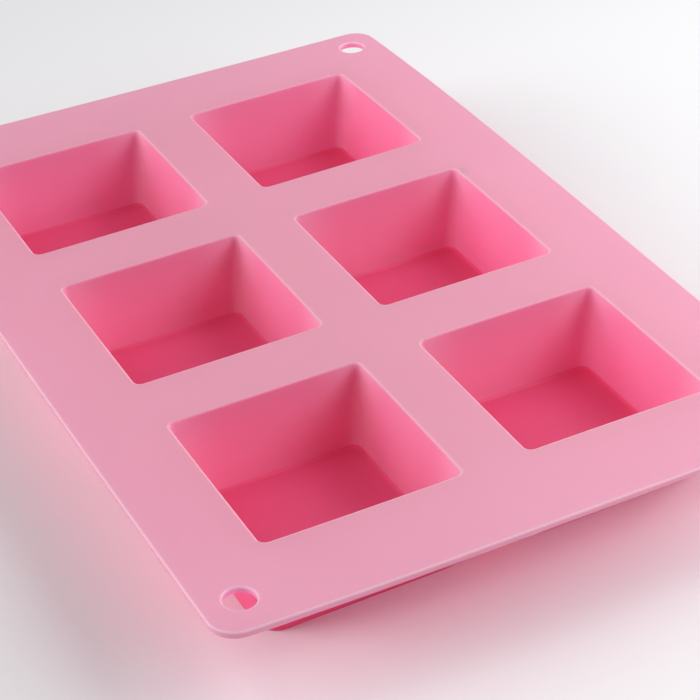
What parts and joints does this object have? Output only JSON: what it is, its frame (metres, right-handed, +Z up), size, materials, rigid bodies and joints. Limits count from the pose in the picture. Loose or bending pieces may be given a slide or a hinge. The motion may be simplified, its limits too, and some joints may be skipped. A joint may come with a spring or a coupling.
{
  "type": "soap mould",
  "caption": "Flexible silicone bar-soap mould: a flat sheet with rows of square drafted cavities that stands on its cups; each cavity floor pushes up to free the bar.",
  "frame": {"origin": "middle of the outline, on the plane that the feet of the cups rest on", "axes": "+X across the two columns of cavities, +Y along the three rows from front to back, +Z up through the mouths"},
  "size_m": [0.174, 0.258, 0.029],
  "materials": {
    "sheet_silicone": "satin pink silicone, slightly translucent",
    "wall_silicone": "satin pink silicone, slightly translucent",
    "floor_silicone": "satin pink silicone, slightly translucent"
  },
  "bodies": {
    "mould": {"sheet": "sheet_silicone", "cavity_wall_front_left": "wall_silicone", "cavity_wall_front_right": "wall_silicone", "cavity_wall_middle_left": "wall_silicone", "cavity_wall_middle_right": "wall_silicone", "cavity_wall_back_left": "wall_silicone", "cavity_wall_back_right": "wall_silicone"},
    "push_floor_front_left": {"cavity_floor_front_left": "floor_silicone"},
    "push_floor_front_right": {"cavity_floor_front_right": "floor_silicone"},
    "push_floor_middle_left": {"cavity_floor_middle_left": "floor_silicone"},
    "push_floor_middle_right": {"cavity_floor_middle_right": "floor_silicone"},
    "push_floor_back_left": {"cavity_floor_back_left": "floor_silicone"},
    "push_floor_back_right": {"cavity_floor_back_right": "floor_silicone"}
  },
  "joints": [
    {"name": "push_up_front_left", "type": "slide", "parent": "mould", "child": "push_floor_front_left", "axis": [0, 0, 1], "range_m": [0, 0.016], "stiffness_N_per_m": 400},
    {"name": "push_up_front_right", "type": "slide", "parent": "mould", "child": "push_floor_front_right", "axis": [0, 0, 1], "range_m": [0, 0.016], "stiffness_N_per_m": 400},
    {"name": "push_up_middle_left", "type": "slide", "parent": "mould", "child": "push_floor_middle_left", "axis": [0, 0, 1], "range_m": [0, 0.016], "stiffness_N_per_m": 400},
    {"name": "push_up_middle_right", "type": "slide", "parent": "mould", "child": "push_floor_middle_right", "axis": [0, 0, 1], "range_m": [0, 0.016], "stiffness_N_per_m": 400},
    {"name": "push_up_back_left", "type": "slide", "parent": "mould", "child": "push_floor_back_left", "axis": [0, 0, 1], "range_m": [0, 0.016], "stiffness_N_per_m": 400},
    {"name": "push_up_back_right", "type": "slide", "parent": "mould", "child": "push_floor_back_right", "axis": [0, 0, 1], "range_m": [0, 0.016], "stiffness_N_per_m": 400}
  ]
}
